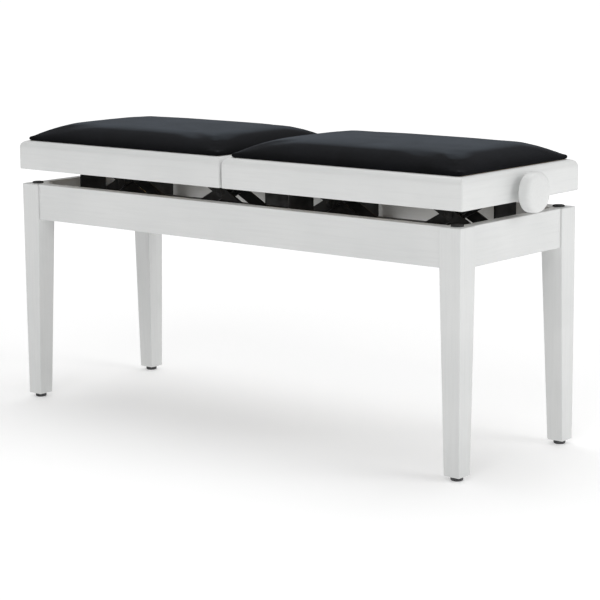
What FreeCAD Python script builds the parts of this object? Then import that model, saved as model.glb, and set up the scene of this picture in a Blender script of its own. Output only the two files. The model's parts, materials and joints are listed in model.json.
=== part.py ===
import FreeCAD, Part
import os
import re

import Sketcher

# Duet piano bench: one wooden frame and two seats, each raised by its own knob.
# X runs along the bench, Y from front to back and Z up, in millimetres.
# The origin is on the floor under the middle of the bench.

os.makedirs("parts", exist_ok=True)
doc = FreeCAD.newDocument("PianoBench")

# ---- driving dimensions

dimensions = [
    ("benchLength", 972, "outer faces of the end legs"),
    ("benchDepth", 322, "outer faces of the front and back legs"),
    ("legTop", 396, "top of the legs and aprons"),
    ("legSide", 40, "leg, square, down to the apron's lower edge"),
    ("footSide", 30, "leg, square, at the foot"),
    ("legEase", 1.5, "eased long edges of the legs"),
    ("glideHeight", 7, "round glide under each leg"),
    ("glideRadius", 10, "glide"),
    ("padHeight", 3, "rubber rest pad on each leg"),
    ("padRadius", 10, "rest pad"),
    ("apronDrop", 64, "height of the apron boards"),
    ("apronBoard", 20, "thickness of the apron boards"),
    ("apronInset", 3, "apron face behind the leg face"),
    ("tenonLength", 15, "apron tenon"),
    ("tenonBoard", 10, "apron tenon thickness"),
    ("tenonStep", 10, "tenon shoulder above and below"),
    ("mortiseGap", 0.1, "room round a tenon"),
    ("crossBoard", 20, "middle cross rail thickness"),
    ("crossDrop", 42, "middle cross rail below the aprons' top"),
    ("crossRise", 2, "middle cross rail above the aprons' lower edge"),
    ("housing", 5, "middle cross rail let into the aprons"),
    ("seatLength", 488, "one seat along the bench"),
    ("seatDepth", 325, "one seat front to back"),
    ("seatGap", 4, "between the two seats"),
    ("seatBottom", 422, "lower edge of the seat frame at rest"),
    ("railDrop", 51, "height of the seat rails"),
    ("railBoard", 22, "thickness of the seat rails"),
    ("railRound", 13, "rounding along the seat's upper outer edge"),
    ("rebate", 8.7, "rebate that holds the seat board"),
    ("boardDrop", 12, "thickness of the seat board"),
    ("boardGap", 0.3, "room round the seat board"),
    ("cushionLip", 5, "upright edge of the cushion"),
    ("cushionRise", 34.5, "crown of the cushion above the rails"),
    ("cushionSlope", 62, "width of the cushion's sloping border"),
    ("plateLength", 428, "steel plate under the seat board"),
    ("plateWidth", 92, "steel plate front to back"),
    ("plateSheet", 2.5, "steel plate thickness"),
    ("armLength", 180, "scissor arm between its end pivots"),
    ("armWidth", 20, "scissor arm strap"),
    ("armSheet", 4, "scissor arm thickness"),
    ("outerStrapY", 24, "middle of the outer pair of straps"),
    ("innerStrapY", 18, "middle of the inner pair of straps"),
    ("pivotX", 200, "fixed pivots, from the seat's middle"),
    ("lowPivotZ", 350, "lower pivots above the floor"),
    ("highPivotZ", 437, "upper pivots and spindle at rest"),
    ("pinRadius", 5, "pivot pins"),
    ("pinEnd", 1.5, "pins beyond the straps"),
    ("runGap", 0.06, "running clearance round the pins"),
    ("shoeRadius", 10, "round shoes on the feet of the inner straps"),
    ("shoeWidth", 10, "shoes"),
    ("shoeIn", 31, "inner face of a shoe, from the middle"),
    ("channelIn", 30, "open side of a guide channel"),
    ("channelOut", 46, "back of a guide channel"),
    ("channelSheet", 3.2, "guide channel thickness"),
    ("channelGap", 0.3, "room above and below a shoe"),
    ("channelLength", 428, "guide channel"),
    ("bearerX", 130, "middle of a bearer, from the seat's middle"),
    ("bearerWidth", 40, "bearer strap"),
    ("bearerSheet", 4, "bearer thickness"),
    ("bearerTab", 15, "turned-up end of a bearer"),
    ("bearerScrewX", 10, "bearer screws, from the bearer's middle"),
    ("bearerScrewZ", 9.2, "bearer screws, above the bearer's underside"),
    ("tieLength", 28, "pivot bracket along the bench"),
    ("earIn", 16, "inner face of a pivot bracket's ear"),
    ("earSheet", 3, "ears"),
    ("earTop", 12, "ears above the pivot"),
    ("wingX", 143, "shield plate, from the seat's middle"),
    ("wingSheet", 3, "shield plate thickness"),
    ("wingOut", 131, "outer edge of a shield plate at the back"),
    ("frontWingOut", 108, "outer edge of a shield plate at the front"),
    ("backShieldIn", 70, "inner edge of the plain plate behind a lift"),
    ("wingTop", 416, "top of the shield plates"),
    ("wingFoot", 14, "foot of a shield plate"),
    ("wingBoltY", 52, "bolt through a shield plate"),
    ("wingBoltZ", 371, "bolt through a shield plate"),
    ("blockLength", 28, "nut blocks and end blocks along the spindle"),
    ("blockHalf", 13, "half width of the blocks"),
    ("blockDrop", 12, "blocks below the spindle's middle"),
    ("slideGap", 0.5, "nut block below the steel plate"),
    ("spindleRadius", 6, "spindle"),
    ("threadGap", 0.08, "room round the spindle in its nuts and blocks"),
    ("collarRadius", 11, "shoulders beside the knob-end block"),
    ("collarWidth", 6, "shoulders"),
    ("collarGap", 0.3, "shoulders clear of the block"),
    ("holeRadius", 8, "spindle hole in the end rail"),
    ("knobGap", 0.8, "knob neck clear of the end rail"),
    ("neckLength", 11.7, "knob neck"),
    ("neckRadius", 13, "knob neck"),
    ("knobRadius", 32.2, "knob"),
    ("knobWidth", 21.5, "knob disc"),
    ("knobRound", 8, "rounded front edge of the knob"),
    ("knobEase", 2, "eased back edge of the knob"),
    ("knobBore", 30, "depth of the bore for the spindle"),
    ("screwRadius", 2.2, "wood screws"),
    ("screwHead", 4.5, "heads of the wood screws"),
    ("screwHeadRise", 2.4, "heads of the wood screws"),
    ("screwReach", 9, "wood screws in the wood"),
    ("plateScrewX", 160, "plate screws along the seat"),
    ("plateScrewY", 38, "plate screws, from the middle"),
    ("cornerReach", 43, "corner bracket along each apron"),
    ("cornerFlange", 15, "flange of a corner bracket"),
    ("cornerSheet", 3, "corner bracket thickness"),
    ("cornerDrop", 40, "corner bracket height"),
    ("boltRadius", 4, "leg bolts and shield bolts"),
    ("boltIn", 10, "leg bolts in front of the bracket"),
    ("boltLength", 46, "leg bolts"),
    ("boltNut", 7.5, "nuts of the bolts"),
    ("boltNutRise", 6, "nuts of the bolts"),
]

sizes = doc.addObject("Spreadsheet::Sheet", "Sizes")
for row, (alias, number, note) in enumerate(dimensions, start=1):
    sizes.set("A%d" % row, alias)
    sizes.set("B%d" % row, str(number))
    sizes.set("C%d" % row, note)
    sizes.setAlias("B%d" % row, alias)
doc.recompute()

aliasPattern = re.compile(r"\b(%s)\b" % "|".join(entry[0] for entry in dimensions))
subparts = []


# the expression with each dimension's name pointing into the sheet
def inSheet(text):
    return aliasPattern.sub(r"Sizes.\1", text)


# the number an expression of the sheet's dimensions comes to
def valueOf(text):
    return float(sizes.evalExpression(inSheet(text)))


# ties properties of an object to the sheet
def bind(obj, expressions):
    for name, text in expressions.items():
        obj.setExpression(name, inSheet(text))
    return obj


# ties an object's place to the sheet
def at(obj, x="0", y="0", z="0"):
    return bind(obj, {"Placement.Base.x": x, "Placement.Base.y": y, "Placement.Base.z": z})


# marks an object as a sub-part, written to a file of its own
def keep(obj, label, x="0", y="0", z="0"):
    obj.Label = label
    subparts.append(obj)
    return at(obj, x, y, z)


# ---- simple solids

alongX = FreeCAD.Vector(1, 0, 0)
alongY = FreeCAD.Vector(0, 1, 0)
alongZ = FreeCAD.Vector(0, 0, 1)


def block(lengths, corner):
    solid = doc.addObject("Part::Box", "Block")
    bind(solid, {"Length": lengths[0], "Width": lengths[1], "Height": lengths[2]})
    return at(solid, *corner)


# a round bar from its start point along a direction
def rod(radius, length, start, direction):
    solid = doc.addObject("Part::Cylinder", "Rod")
    turn = FreeCAD.Rotation(FreeCAD.Vector(0, 0, 1), direction)
    solid.Placement = FreeCAD.Placement(FreeCAD.Vector(), turn)
    bind(solid, {"Radius": radius, "Height": length})
    return at(solid, *start)


# a round bar across the bench, the same length to front and back
def crossRod(radius, half, x, z):
    return rod(radius, "2 * (%s)" % half, (x, "-(%s)" % half, z), alongY)


def join(solids):
    fused = doc.addObject("Part::MultiFuse", "Join")
    fused.Shapes = solids
    return fused


def cut(base, tools):
    result = doc.addObject("Part::Cut", "Cut")
    result.Base = base
    result.Tool = tools[0] if len(tools) == 1 else join(tools)
    return result


# separate solids of one kind that share a node
def group(solids):
    together = doc.addObject("Part::Compound", "Group")
    together.Links = solids
    return together


# ---- sketched solids

# a closed outline on one of the body's own planes, every corner tied to the sheet
def outline(body, role, points):
    sketch = body.newObject("Sketcher::SketchObject", "Outline")
    plane = next(item for item in body.Origin.OriginFeatures if item.Role == role)
    sketch.AttachmentSupport = [(plane, "")]
    sketch.MapMode = "FlatFace"
    corners = [FreeCAD.Vector(valueOf(u), valueOf(v), 0) for u, v in points]
    count = len(corners)
    for i, corner in enumerate(corners):
        sketch.addGeometry(Part.LineSegment(corner, corners[(i + 1) % count]), False)
    for i in range(count):
        sketch.addConstraint(Sketcher.Constraint("Coincident", i, 2, (i + 1) % count, 1))
    for i, texts in enumerate(points):
        for kind, text in zip(("DistanceX", "DistanceY"), texts):
            index = sketch.addConstraint(Sketcher.Constraint(kind, -1, 1, i, 1, valueOf(text)))
            sketch.setExpression("Constraints[%d]" % index, inSheet(text))
    return sketch


# a body padded from an outline, half to each side of its plane
def padded(role, points, length):
    body = doc.addObject("PartDesign::Body", "Body")
    pad = body.newObject("PartDesign::Pad", "Pad")
    pad.Profile = outline(body, role, points)
    pad.SideType = "Symmetric"
    bind(pad, {"Length": length})
    body.Tip = pad
    doc.recompute()
    return body


# a body turned from an outline about its own X axis
def turned(points):
    body = doc.addObject("PartDesign::Body", "Body")
    profile = outline(body, "XZ_Plane", points)
    revolution = body.newObject("PartDesign::Revolution", "Revolution")
    revolution.Profile = profile
    revolution.ReferenceAxis = (profile, ["H_Axis"])
    revolution.Angle = 360
    body.Tip = revolution
    doc.recompute()
    return body


# cuts an outline right through the body, both ways from its plane
def trim(body, role, points):
    before = body.Shape.Volume
    pocket = body.newObject("PartDesign::Pocket", "Pocket")
    pocket.Profile = outline(body, role, points)
    pocket.SideType = "Symmetric"
    pocket.Type = "ThroughAll"
    body.Tip = pocket
    doc.recompute()
    if not body.Shape.Volume < before - 1:
        raise RuntimeError("a pocket in %s removed nothing" % body.Name)


# rounds the edges that pass a test
def roundEdges(body, test, radius):
    last = body.Tip
    names = ["Edge%d" % i for i, edge in enumerate(last.Shape.Edges, start=1) if test(edge.BoundBox)]
    fillet = body.newObject("PartDesign::Fillet", "Fillet")
    fillet.Base = (last, names)
    bind(fillet, {"Radius": radius})
    body.Tip = fillet
    doc.recompute()


# ---- wooden frame

corners = [(sx, sy) for sx in (-1, 1) for sy in (-1, 1)]
endName = {-1: "left", 1: "right"}
sideName = {-1: "front", 1: "back"}

legX = "(benchLength - legSide) / 2"
legY = "(benchDepth - legSide) / 2"
apronX = "(benchLength / 2 - apronInset - apronBoard / 2)"
apronY = "(benchDepth / 2 - apronInset - apronBoard / 2)"
apronFoot = "(legTop - apronDrop)"
insideX = "(benchLength / 2 - apronInset - apronBoard)"
insideY = "(benchDepth / 2 - apronInset - apronBoard)"
tenonHigh = "(apronDrop - 2 * tenonStep)"
boltZ = "(legTop - apronDrop / 2)"
bearerUnder = "(lowPivotZ - shoeRadius - channelGap - channelSheet - bearerSheet)"


# tenon through the whole length of an apron, grown by the gap for its mortises
def tenons(along, length, x, y, gap):
    wide = "(tenonBoard + 2 * %s)" % gap
    high = "(%s + 2 * %s)" % (tenonHigh, gap)
    low = "%s + tenonStep - %s" % (apronFoot, gap)
    full = "(%s + 2 * tenonLength + 10 * %s)" % (length, gap)
    if along == "x":
        return block((full, wide, high), ("-%s / 2" % full, "%s - %s / 2" % (y, wide), low))
    return block((wide, full, high), ("%s - %s / 2" % (x, wide), "-%s / 2" % full, low))


def leg(sx, sy):
    half = "%d * legSide / 2"
    heel = "%d * (footSide - legSide / 2)"
    body = padded("XZ_Plane", [
        (half % sx, "glideHeight"),
        (half % sx, "legTop"),
        (half % -sx, "legTop"),
        (half % -sx, apronFoot),
        (heel % -sx, "glideHeight"),
    ], "legSide")
    beyond = "%d * legSide"
    trim(body, "YZ_Plane", [
        (half % -sy, apronFoot),
        (heel % -sy, "glideHeight"),
        (heel % -sy, "glideHeight - 5"),
        (beyond % -sy, "glideHeight - 5"),
        (beyond % -sy, apronFoot),
    ])
    # the corner that faces into the bench stays sharp
    roundEdges(body, lambda box: box.ZLength > 50
               and (sx * box.Center.x > 0 or sy * box.Center.y > 0), "legEase")
    at(body, "%d * %s" % (sx, legX), "%d * %s" % (sy, legY))
    return cut(body, [
        tenons("x", "(benchLength - 2 * legSide)", "0", "%d * %s" % (sy, apronY), "mortiseGap"),
        tenons("y", "(benchDepth - 2 * legSide)", "%d * %s" % (sx, apronX), "0", "mortiseGap"),
        legBolt(sx, sy, False),
    ])


# bolt from a corner bracket into its leg
def legBolt(sx, sy, withNut):
    outward = FreeCAD.Vector(sx, sy, 0)
    step = "(cornerReach / 2 + boltIn / sqrt(2))"
    start = ("%d * (%s - %s)" % (sx, insideX, step), "%d * (%s - %s)" % (sy, insideY, step), boltZ)
    shaft = rod("boltRadius", "boltLength", start, outward)
    if not withNut:
        return shaft
    seat = "(cornerReach / 2 + (cornerSheet + boltNutRise) / sqrt(2))"
    place = ("%d * (%s - %s)" % (sx, insideX, seat), "%d * (%s - %s)" % (sy, insideY, seat), boltZ)
    return join([shaft, rod("boltNut", "boltNutRise", place, outward)])


# folded steel across an inner corner of the frame
def cornerBracket(sx, sy):
    fold = "(cornerSheet * (sqrt(2) - 1))"
    far = "(cornerReach + cornerFlange)"
    path = [
        ("0", far), ("0", "cornerReach"), ("cornerReach", "0"), (far, "0"),
        (far, "cornerSheet"), ("(cornerReach + %s)" % fold, "cornerSheet"),
        ("cornerSheet", "(cornerReach + %s)" % fold), ("cornerSheet", far),
    ]
    points = [("%d * %s" % (-sx, u), "%d * %s" % (-sy, v)) for u, v in path]
    body = padded("XY_Plane", points, "cornerDrop")
    at(body, "%d * %s" % (sx, insideX), "%d * %s" % (sy, insideY), boltZ)
    return cut(body, [legBolt(sx, sy, False)])


for sx, sy in corners:
    keep(leg(sx, sy), "leg_%s_%s" % (sideName[sy], endName[sx]))

keep(group([cornerBracket(sx, sy) for sx, sy in corners]), "corner_brackets")
keep(group([legBolt(sx, sy, True) for sx, sy in corners]), "leg_bolts")

footX = "(benchLength - footSide) / 2"
footY = "(benchDepth - footSide) / 2"
glides = [rod("glideRadius", "glideHeight", ("%d * %s" % (sx, footX), "%d * %s" % (sy, footY), "0"), alongZ)
          for sx, sy in corners]
keep(group(glides), "foot_glides")

pads = [rod("padRadius", "padHeight", ("%d * %s" % (sx, legX), "%d * %s" % (sy, legY), "0"), alongZ)
        for sx, sy in corners]
keep(group(pads), "rest_pads", z="legTop")


# ---- screws

seatX = {side: "(%d * (seatLength + seatGap) / 2)" % side for side in (-1, 1)}
bearerScrews = [(side, end, step, sy) for side in (-1, 1) for end in (-1, 1)
                for step in (-1, 1) for sy in (-1, 1)]


# screw through a bearer's tab into the apron
def bearerScrew(side, end, step, sy, whole):
    x = "%s + %d * bearerX + %d * bearerScrewX" % (seatX[side], end, step)
    z = "%s + bearerScrewZ" % bearerUnder
    outward = FreeCAD.Vector(0, sy, 0)
    shank = rod("screwRadius", "bearerSheet + screwReach", (x, "%d * (%s - bearerSheet)" % (sy, insideY), z), outward)
    if not whole:
        return shank
    start = (x, "%d * (%s - bearerSheet - screwHeadRise)" % (sy, insideY), z)
    return join([shank, rod("screwHead", "screwHeadRise", start, outward)])


keep(group([bearerScrew(*spot, True) for spot in bearerScrews]), "bearer_screws")


# ---- aprons and middle cross rail

def crossStart(gap):
    return ("-crossBoard / 2 - " + gap, "-(%s + housing)" % insideY, "%s + crossRise - %s" % (apronFoot, gap))


def crossRail(gap):
    length = "2 * (%s + housing)" % insideY
    high = "apronDrop - crossDrop - crossRise + 2 * " + gap
    return block(("crossBoard + 2 * " + gap, length, high), crossStart(gap))


for sy in (-1, 1):
    board = block(("benchLength - 2 * legSide", "apronBoard", "apronDrop"),
                  ("legSide - benchLength / 2", "%d * %s - apronBoard / 2" % (sy, apronY), apronFoot))
    apron = join([board, tenons("x", "(benchLength - 2 * legSide)", "0", "%d * %s" % (sy, apronY), "0")])
    holes = [bearerScrew(*spot, False) for spot in bearerScrews if spot[3] == sy]
    keep(cut(apron, [crossRail("mortiseGap")] + holes), "apron_%s" % sideName[sy])

for sx in (-1, 1):
    board = block(("apronBoard", "benchDepth - 2 * legSide", "apronDrop"),
                  ("%d * %s - apronBoard / 2" % (sx, apronX), "legSide - benchDepth / 2", apronFoot))
    apron = join([board, tenons("y", "(benchDepth - 2 * legSide)", "%d * %s" % (sx, apronX), "0", "0")])
    keep(apron, "apron_%s" % endName[sx])

keep(crossRail("0"), "cross_rail", *crossStart("0"))


# ---- steel base of the two lifts, each about its seat's middle

channelUnder = "(lowPivotZ - shoeRadius - channelGap - channelSheet)"
channelHigh = "(2 * (shoeRadius + channelGap + channelSheet))"


def bearer(side, end):
    x = "%s + %d * bearerX" % (seatX[side], end)
    middle = "%s - bearerWidth / 2" % x
    strap = block(("bearerWidth", "2 * %s" % insideY, "bearerSheet"), (middle, "-%s" % insideY, bearerUnder))
    tabs = [block(("bearerWidth", "bearerSheet", "bearerTab"), (middle, y, bearerUnder))
            for y in ("-%s" % insideY, "%s - bearerSheet" % insideY)]
    holes = [bearerScrew(*spot, False) for spot in bearerScrews if spot[:2] == (side, end)]
    return cut(join([strap] + tabs), holes)


# C channel, open towards the middle of the seat
def channel(x, sy):
    start = "%s - channelLength / 2" % x
    deep = "(channelOut - channelIn)"
    outer = block(("channelLength", deep, channelHigh),
                  (start, "%d * (channelOut + channelIn) / 2 - %s / 2" % (sy, deep), channelUnder))
    inner = block(("channelLength + 2", deep, "%s - 2 * channelSheet" % channelHigh),
                  (start + " - 1", "%d * ((channelOut + channelIn) / 2 - channelSheet) - %s / 2" % (sy, deep),
                   "%s + channelSheet" % channelUnder))
    return cut(outer, [inner])


# cross tie under the channels, with two ears for the fixed pivot
def pivotBracket(x):
    start = "%s - tieLength / 2" % x
    tie = block(("tieLength", "2 * channelOut", "channelSheet"),
                (start, "-channelOut", "%s - channelSheet" % channelUnder))
    high = "lowPivotZ + earTop - %s" % channelUnder
    ears = [block(("tieLength", "earSheet", high), (start, y, channelUnder)) for y in ("earIn", "-earIn - earSheet")]
    return cut(join([tie] + ears), [crossRod("pinRadius", "outerStrapY", x, "lowPivotZ")])


# shield plate beside a channel, with a foot on the bearer and a flange on the channel
def wing(x, sy):
    low = channelUnder
    wide = "(wingOut - channelOut)" if sy > 0 else "(frontWingOut - channelOut)"
    middle = "%d * (channelOut + %s / 2)" % (sy, wide)
    plate = block(("wingSheet", wide, "wingTop - %s" % low),
                  ("%s - wingSheet / 2" % x, "%s - %s / 2" % (middle, wide), low))
    foot = block(("wingFoot", wide, "wingSheet"), (x, "%s - %s / 2" % (middle, wide), low))
    flange = block(("wingFoot", "wingSheet", channelHigh),
                   (x, "%d * (channelOut + wingSheet / 2) - wingSheet / 2" % sy, low))
    return cut(join([plate, foot, flange]), [wingBolt(x, sy, False)])


# plain plate behind a lift, standing on its other bearer
def backShield(x):
    wide = "(wingOut - backShieldIn)"
    plate = block(("wingSheet", wide, "wingTop - %s" % channelUnder),
                  ("%s - wingSheet / 2" % x, "backShieldIn", channelUnder))
    foot = block(("wingFoot", wide, "wingSheet"), ("%s - wingFoot" % x, "backShieldIn", channelUnder))
    return join([plate, foot])


def wingBolt(x, sy, whole):
    y = "%d * wingBoltY" % sy
    shaft = rod("boltRadius", "4 * wingSheet", ("%s - 2 * wingSheet" % x, y, "wingBoltZ"), alongX)
    if not whole:
        return shaft
    face = "%s + wingSheet / 2" % x
    return join([shaft, rod("boltNut", "boltNutRise / 2", (face, y, "wingBoltZ"), alongX)])


both = (-1, 1)
fixedX = [("%s + %d * pivotX" % (seatX[side], end)) for side in both for end in both]
wingsX = [("%s - wingX" % seatX[side]) for side in both]

keep(group([bearer(side, end) for side in both for end in both]), "base_bearers")
keep(group([channel(seatX[side], sy) for side in both for sy in both]), "guide_channels")
keep(group([pivotBracket(x) for x in fixedX]), "pivot_brackets")
keep(group([crossRod("pinRadius", "outerStrapY + armSheet / 2 + pinEnd", x, "lowPivotZ") for x in fixedX]),
     "pivot_rods")
backShields = [backShield("%s + wingX" % seatX[side]) for side in both]
keep(group([wing(x, sy) for x in wingsX for sy in both] + backShields), "shield_plates")
keep(group([wingBolt(x, sy, True) for x in wingsX for sy in both]), "shield_bolts")


# ---- scissor arms

armRise = "(highPivotZ - lowPivotZ)"
armRun = "sqrt(armLength * armLength - %s * %s)" % (armRise, armRise)
crossingX = "(pivotX - %s / 2)" % armRun
crossingZ = "((lowPivotZ + highPivotZ) / 2)"
nutX = "(pivotX - %s)" % armRun


# one flat strap with round ends
def strap(y):
    near = "%s - armSheet / 2" % y
    bar = block(("armLength", "armSheet", "armWidth"), ("-armLength / 2", near, "-armWidth / 2"))
    ends = [rod("armWidth / 2", "armSheet", (x, near, "0"), alongY) for x in ("-armLength / 2", "armLength / 2")]
    return join([bar] + ends)


# a pair of straps welded to one pin, with running holes for the others
def armPair(strapY, pinX, pinHalf, holesX):
    pair = join([strap(strapY), strap("-" + strapY), crossRod("pinRadius", pinHalf, pinX, "0")])
    holes = [crossRod("pinRadius + runGap", "outerStrapY + armSheet", x, "0") for x in holesX]
    return cut(pair, holes)


# leans an arm over and puts its middle at the crossing
def lean(arm, label, side, end, turn):
    arm.Placement = FreeCAD.Placement(FreeCAD.Vector(), FreeCAD.Rotation(FreeCAD.Vector(0, turn, 0), 30))
    bind(arm, {"Placement.Rotation.Angle": "asin(%s / armLength)" % armRise})
    keep(arm, label, "%s + %d * %s" % (seatX[side], end, crossingX), "0", crossingZ)


for side in both:
    for end in both:
        name = "%s_%s" % (endName[side], "outer" if end == side else "inner")
        nutArm = armPair("outerStrapY", "0", "outerStrapY + armSheet / 2 + pinEnd",
                         ["-armLength / 2", "armLength / 2"])
        lean(nutArm, "nut_arm_" + name, side, end, end)
        shoeArm = armPair("innerStrapY", "%d * armLength / 2" % -end, "shoeIn + shoeWidth",
                          ["0", "%d * armLength / 2" % end])
        lean(shoeArm, "shoe_arm_" + name, side, end, -end)
        shoes = [rod("shoeRadius", "shoeWidth", ("0", y, "0"), alongY) for y in ("shoeIn", "-shoeIn - shoeWidth")]
        bores = crossRod("pinRadius", "shoeIn + shoeWidth + 1", "0", "0")
        shoePair = group([cut(shoe, [bores]) for shoe in shoes])
        keep(shoePair, "shoes_" + name, "%s + %d * %s" % (seatX[side], end, nutX), "0", "lowPivotZ")


# ---- nut blocks and end blocks on the spindle

def spindleBlock(top, pinHalf):
    body = block(("blockLength", "2 * blockHalf", "blockDrop + " + top), ("-blockLength / 2", "-blockHalf", "-blockDrop"))
    pin = crossRod("pinRadius", pinHalf, "0", "0")
    bore = rod("spindleRadius + threadGap", "blockLength + 2", ("-blockLength / 2 - 1", "0", "0"), alongX)
    return cut(join([body, pin]), [bore])


plateUnder = "(seatBottom + railDrop - boardDrop - plateSheet)"
blockTop = "(%s - highPivotZ)" % plateUnder

for side in both:
    endBlocks = []
    for end in both:
        name = "%s_%s" % (endName[side], "outer" if end == side else "inner")
        nut = spindleBlock("%s - slideGap" % blockTop, "outerStrapY + armSheet / 2 + pinEnd")
        keep(nut, "spindle_nut_" + name, "%s + %d * %s" % (seatX[side], end, nutX), "0", "highPivotZ")
        endBlock = spindleBlock(blockTop, "innerStrapY + armSheet / 2 + pinEnd")
        endBlocks.append(at(endBlock, "%d * pivotX" % end))
    keep(group(endBlocks), "end_blocks_" + endName[side], seatX[side], "0", "highPivotZ")


# ---- spindle and knob, which turn together

for side in both:
    def along(text, length):
        return text if side > 0 else "-(%s + %s)" % (text, length)

    farEnd = "(pivotX + blockLength / 2 + 1)"
    knobStart = "(seatLength / 2 + knobGap)"
    spindleLength = "(%s + %s + knobBore)" % (farEnd, knobStart)
    shaft = rod("spindleRadius", spindleLength, (along("-" + farEnd, spindleLength), "0", "0"), alongX)
    shoulders = [rod("collarRadius", "collarWidth", (along(text, "collarWidth"), "0", "0"), alongX) for text in (
        "pivotX - blockLength / 2 - collarGap - collarWidth",
        "pivotX + blockLength / 2 + collarGap",
    )]
    keep(join([shaft] + shoulders), "spindle_" + endName[side], seatX[side], "0", "highPivotZ")

    reach = "(neckLength + knobWidth)"
    profile = [
        ("0", "spindleRadius"), ("0", "neckRadius"), ("neckLength", "neckRadius"),
        ("neckLength", "knobRadius"), (reach, "knobRadius"), (reach, "0"),
        ("knobBore", "0"), ("knobBore", "spindleRadius"),
    ]
    knob = turned([("%d * %s" % (side, u), v) for u, v in profile])
    rim = valueOf("knobRadius")
    face = side * valueOf(reach)
    back = side * valueOf("neckLength")
    for edgeX, radius in ((face, "knobRound"), (back, "knobEase")):
        roundEdges(knob, lambda box: box.XLength < 0.01 and abs(box.Center.x - edgeX) < 0.01
                   and box.ZLength > 1.5 * rim, radius)
    keep(knob, "knob_" + endName[side], "%s + %d * %s" % (seatX[side], side, knobStart), "0", "highPivotZ")


# ---- seats

seatTop = "(seatBottom + railDrop)"
rebateFloor = "(seatBottom + railDrop - boardDrop)"


# a rail with a rounded upper edge and a rebate, mitred at both ends
def rail(role, half, length, sign, mitreRole):
    inner = "(%s - railBoard)" % half
    ledge = "(%s - railBoard + rebate)" % half
    profile = [
        (half, "seatBottom"), (half, seatTop), (ledge, seatTop),
        (ledge, rebateFloor), (inner, rebateFloor), (inner, "seatBottom"),
    ]
    body = padded(role, [("%d * %s" % (sign, u), v) for u, v in profile], length)
    outer = sign * valueOf(half)
    top = valueOf(seatTop)

    def isUpperOuter(box):
        middle = box.Center.y if role == "YZ_Plane" else box.Center.x
        return abs(middle - outer) < 0.01 and abs(box.Center.z - top) < 0.01 and box.DiagonalLength > 100

    roundEdges(body, isUpperOuter, "railRound")
    for end in both:
        tip = "%s / 2" % length
        line = [
            ("%d * (%s + 10)" % (end, tip), "%d * (%s + 10)" % (sign, half)),
            ("%d * (%s - railBoard - 10)" % (end, tip), "%d * (%s - railBoard - 10)" % (sign, half)),
            ("%d * (%s + 10)" % (end, tip), "%d * (%s - railBoard - 10)" % (sign, half)),
        ]
        trim(body, "XY_Plane", line if role == "YZ_Plane" else [(v, u) for u, v in line])
    return body


plateScrews = [(i, sy) for i in (-1, 0, 1) for sy in both]


def plateScrew(i, sy, whole):
    x = "%d * plateScrewX" % i
    y = "%d * plateScrewY" % sy
    shank = rod("screwRadius", "plateSheet + screwReach", (x, y, plateUnder), alongZ)
    if not whole:
        return shank
    return join([shank, rod("screwHead", "screwHeadRise", (x, y, "%s - screwHeadRise" % plateUnder), alongZ)])


def cushion():
    slab = ("seatLength - 2 * (railBoard - rebate)", "seatDepth - 2 * (railBoard - rebate)")
    half = ("(%s) / 2" % slab[0], "(%s) / 2" % slab[1])
    lip = block((slab[0], slab[1], "cushionLip"), ("-" + half[0], "-" + half[1], "0"))
    dome = doc.addObject("Part::Wedge", "Dome")
    dome.Placement = FreeCAD.Placement(FreeCAD.Vector(), FreeCAD.Rotation(FreeCAD.Vector(1, 0, 0), 90))
    bind(dome, {
        "Xmin": "-" + half[0], "Xmax": half[0], "Zmin": "-" + half[1], "Zmax": half[1],
        "X2min": "cushionSlope - " + half[0], "X2max": half[0] + " - cushionSlope",
        "Z2min": "cushionSlope - " + half[1], "Z2max": half[1] + " - cushionSlope",
        "Ymin": "cushionLip", "Ymax": "cushionRise",
    })
    return join([lip, dome])


for side in both:
    name = endName[side]
    for sy in both:
        longRail = rail("YZ_Plane", "(seatDepth / 2)", "seatLength", sy, "XY_Plane")
        keep(longRail, "seat_rail_%s_%s" % (sideName[sy], name), seatX[side])
    for end in both:
        place = "outer" if end == side else "inner"
        endRail = rail("XZ_Plane", "(seatLength / 2)", "seatDepth", end, "XY_Plane")
        if end == side:
            hole = rod("holeRadius", "2 * railBoard",
                       ("%d * seatLength / 2 - railBoard" % end, "0", "highPivotZ"), alongX)
            endRail = cut(endRail, [hole])
        keep(endRail, "seat_rail_%s_%s" % (place, name), seatX[side])

    lengthX = "(seatLength - 2 * (railBoard - rebate + boardGap))"
    lengthY = "(seatDepth - 2 * (railBoard - rebate + boardGap))"
    board = block((lengthX, lengthY, "boardDrop"), ("-%s / 2" % lengthX, "-%s / 2" % lengthY, rebateFloor))
    plate = block(("plateLength", "plateWidth", "plateSheet"), ("-plateLength / 2", "-plateWidth / 2", plateUnder))
    keep(cut(board, [plateScrew(*spot, False) for spot in plateScrews]), "seat_board_" + name, seatX[side])
    keep(cut(plate, [plateScrew(*spot, False) for spot in plateScrews]), "lift_plate_" + name, seatX[side])
    keep(group([plateScrew(*spot, True) for spot in plateScrews]), "plate_screws_" + name, seatX[side])
    keep(cushion(), "cushion_" + name, seatX[side], "0", seatTop)

# ---- checks and files

doc.recompute()
for obj in doc.Objects:
    if "Invalid" in obj.State or "Error" in obj.State:
        raise RuntimeError("%s (%s) did not build: %s" % (obj.Name, obj.Label, obj.State))

for obj in subparts:
    if obj.Shape.isNull() or not obj.Shape.isValid() or not obj.Shape.Solids:
        raise RuntimeError("%s has no valid solid" % obj.Label)
    obj.Shape.exportStep("parts/%s.step" % obj.Label)

print("%d sub-parts written" % len(subparts))
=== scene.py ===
import json
import math

import bmesh
import bpy
from mathutils import Matrix, Vector, noise

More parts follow.
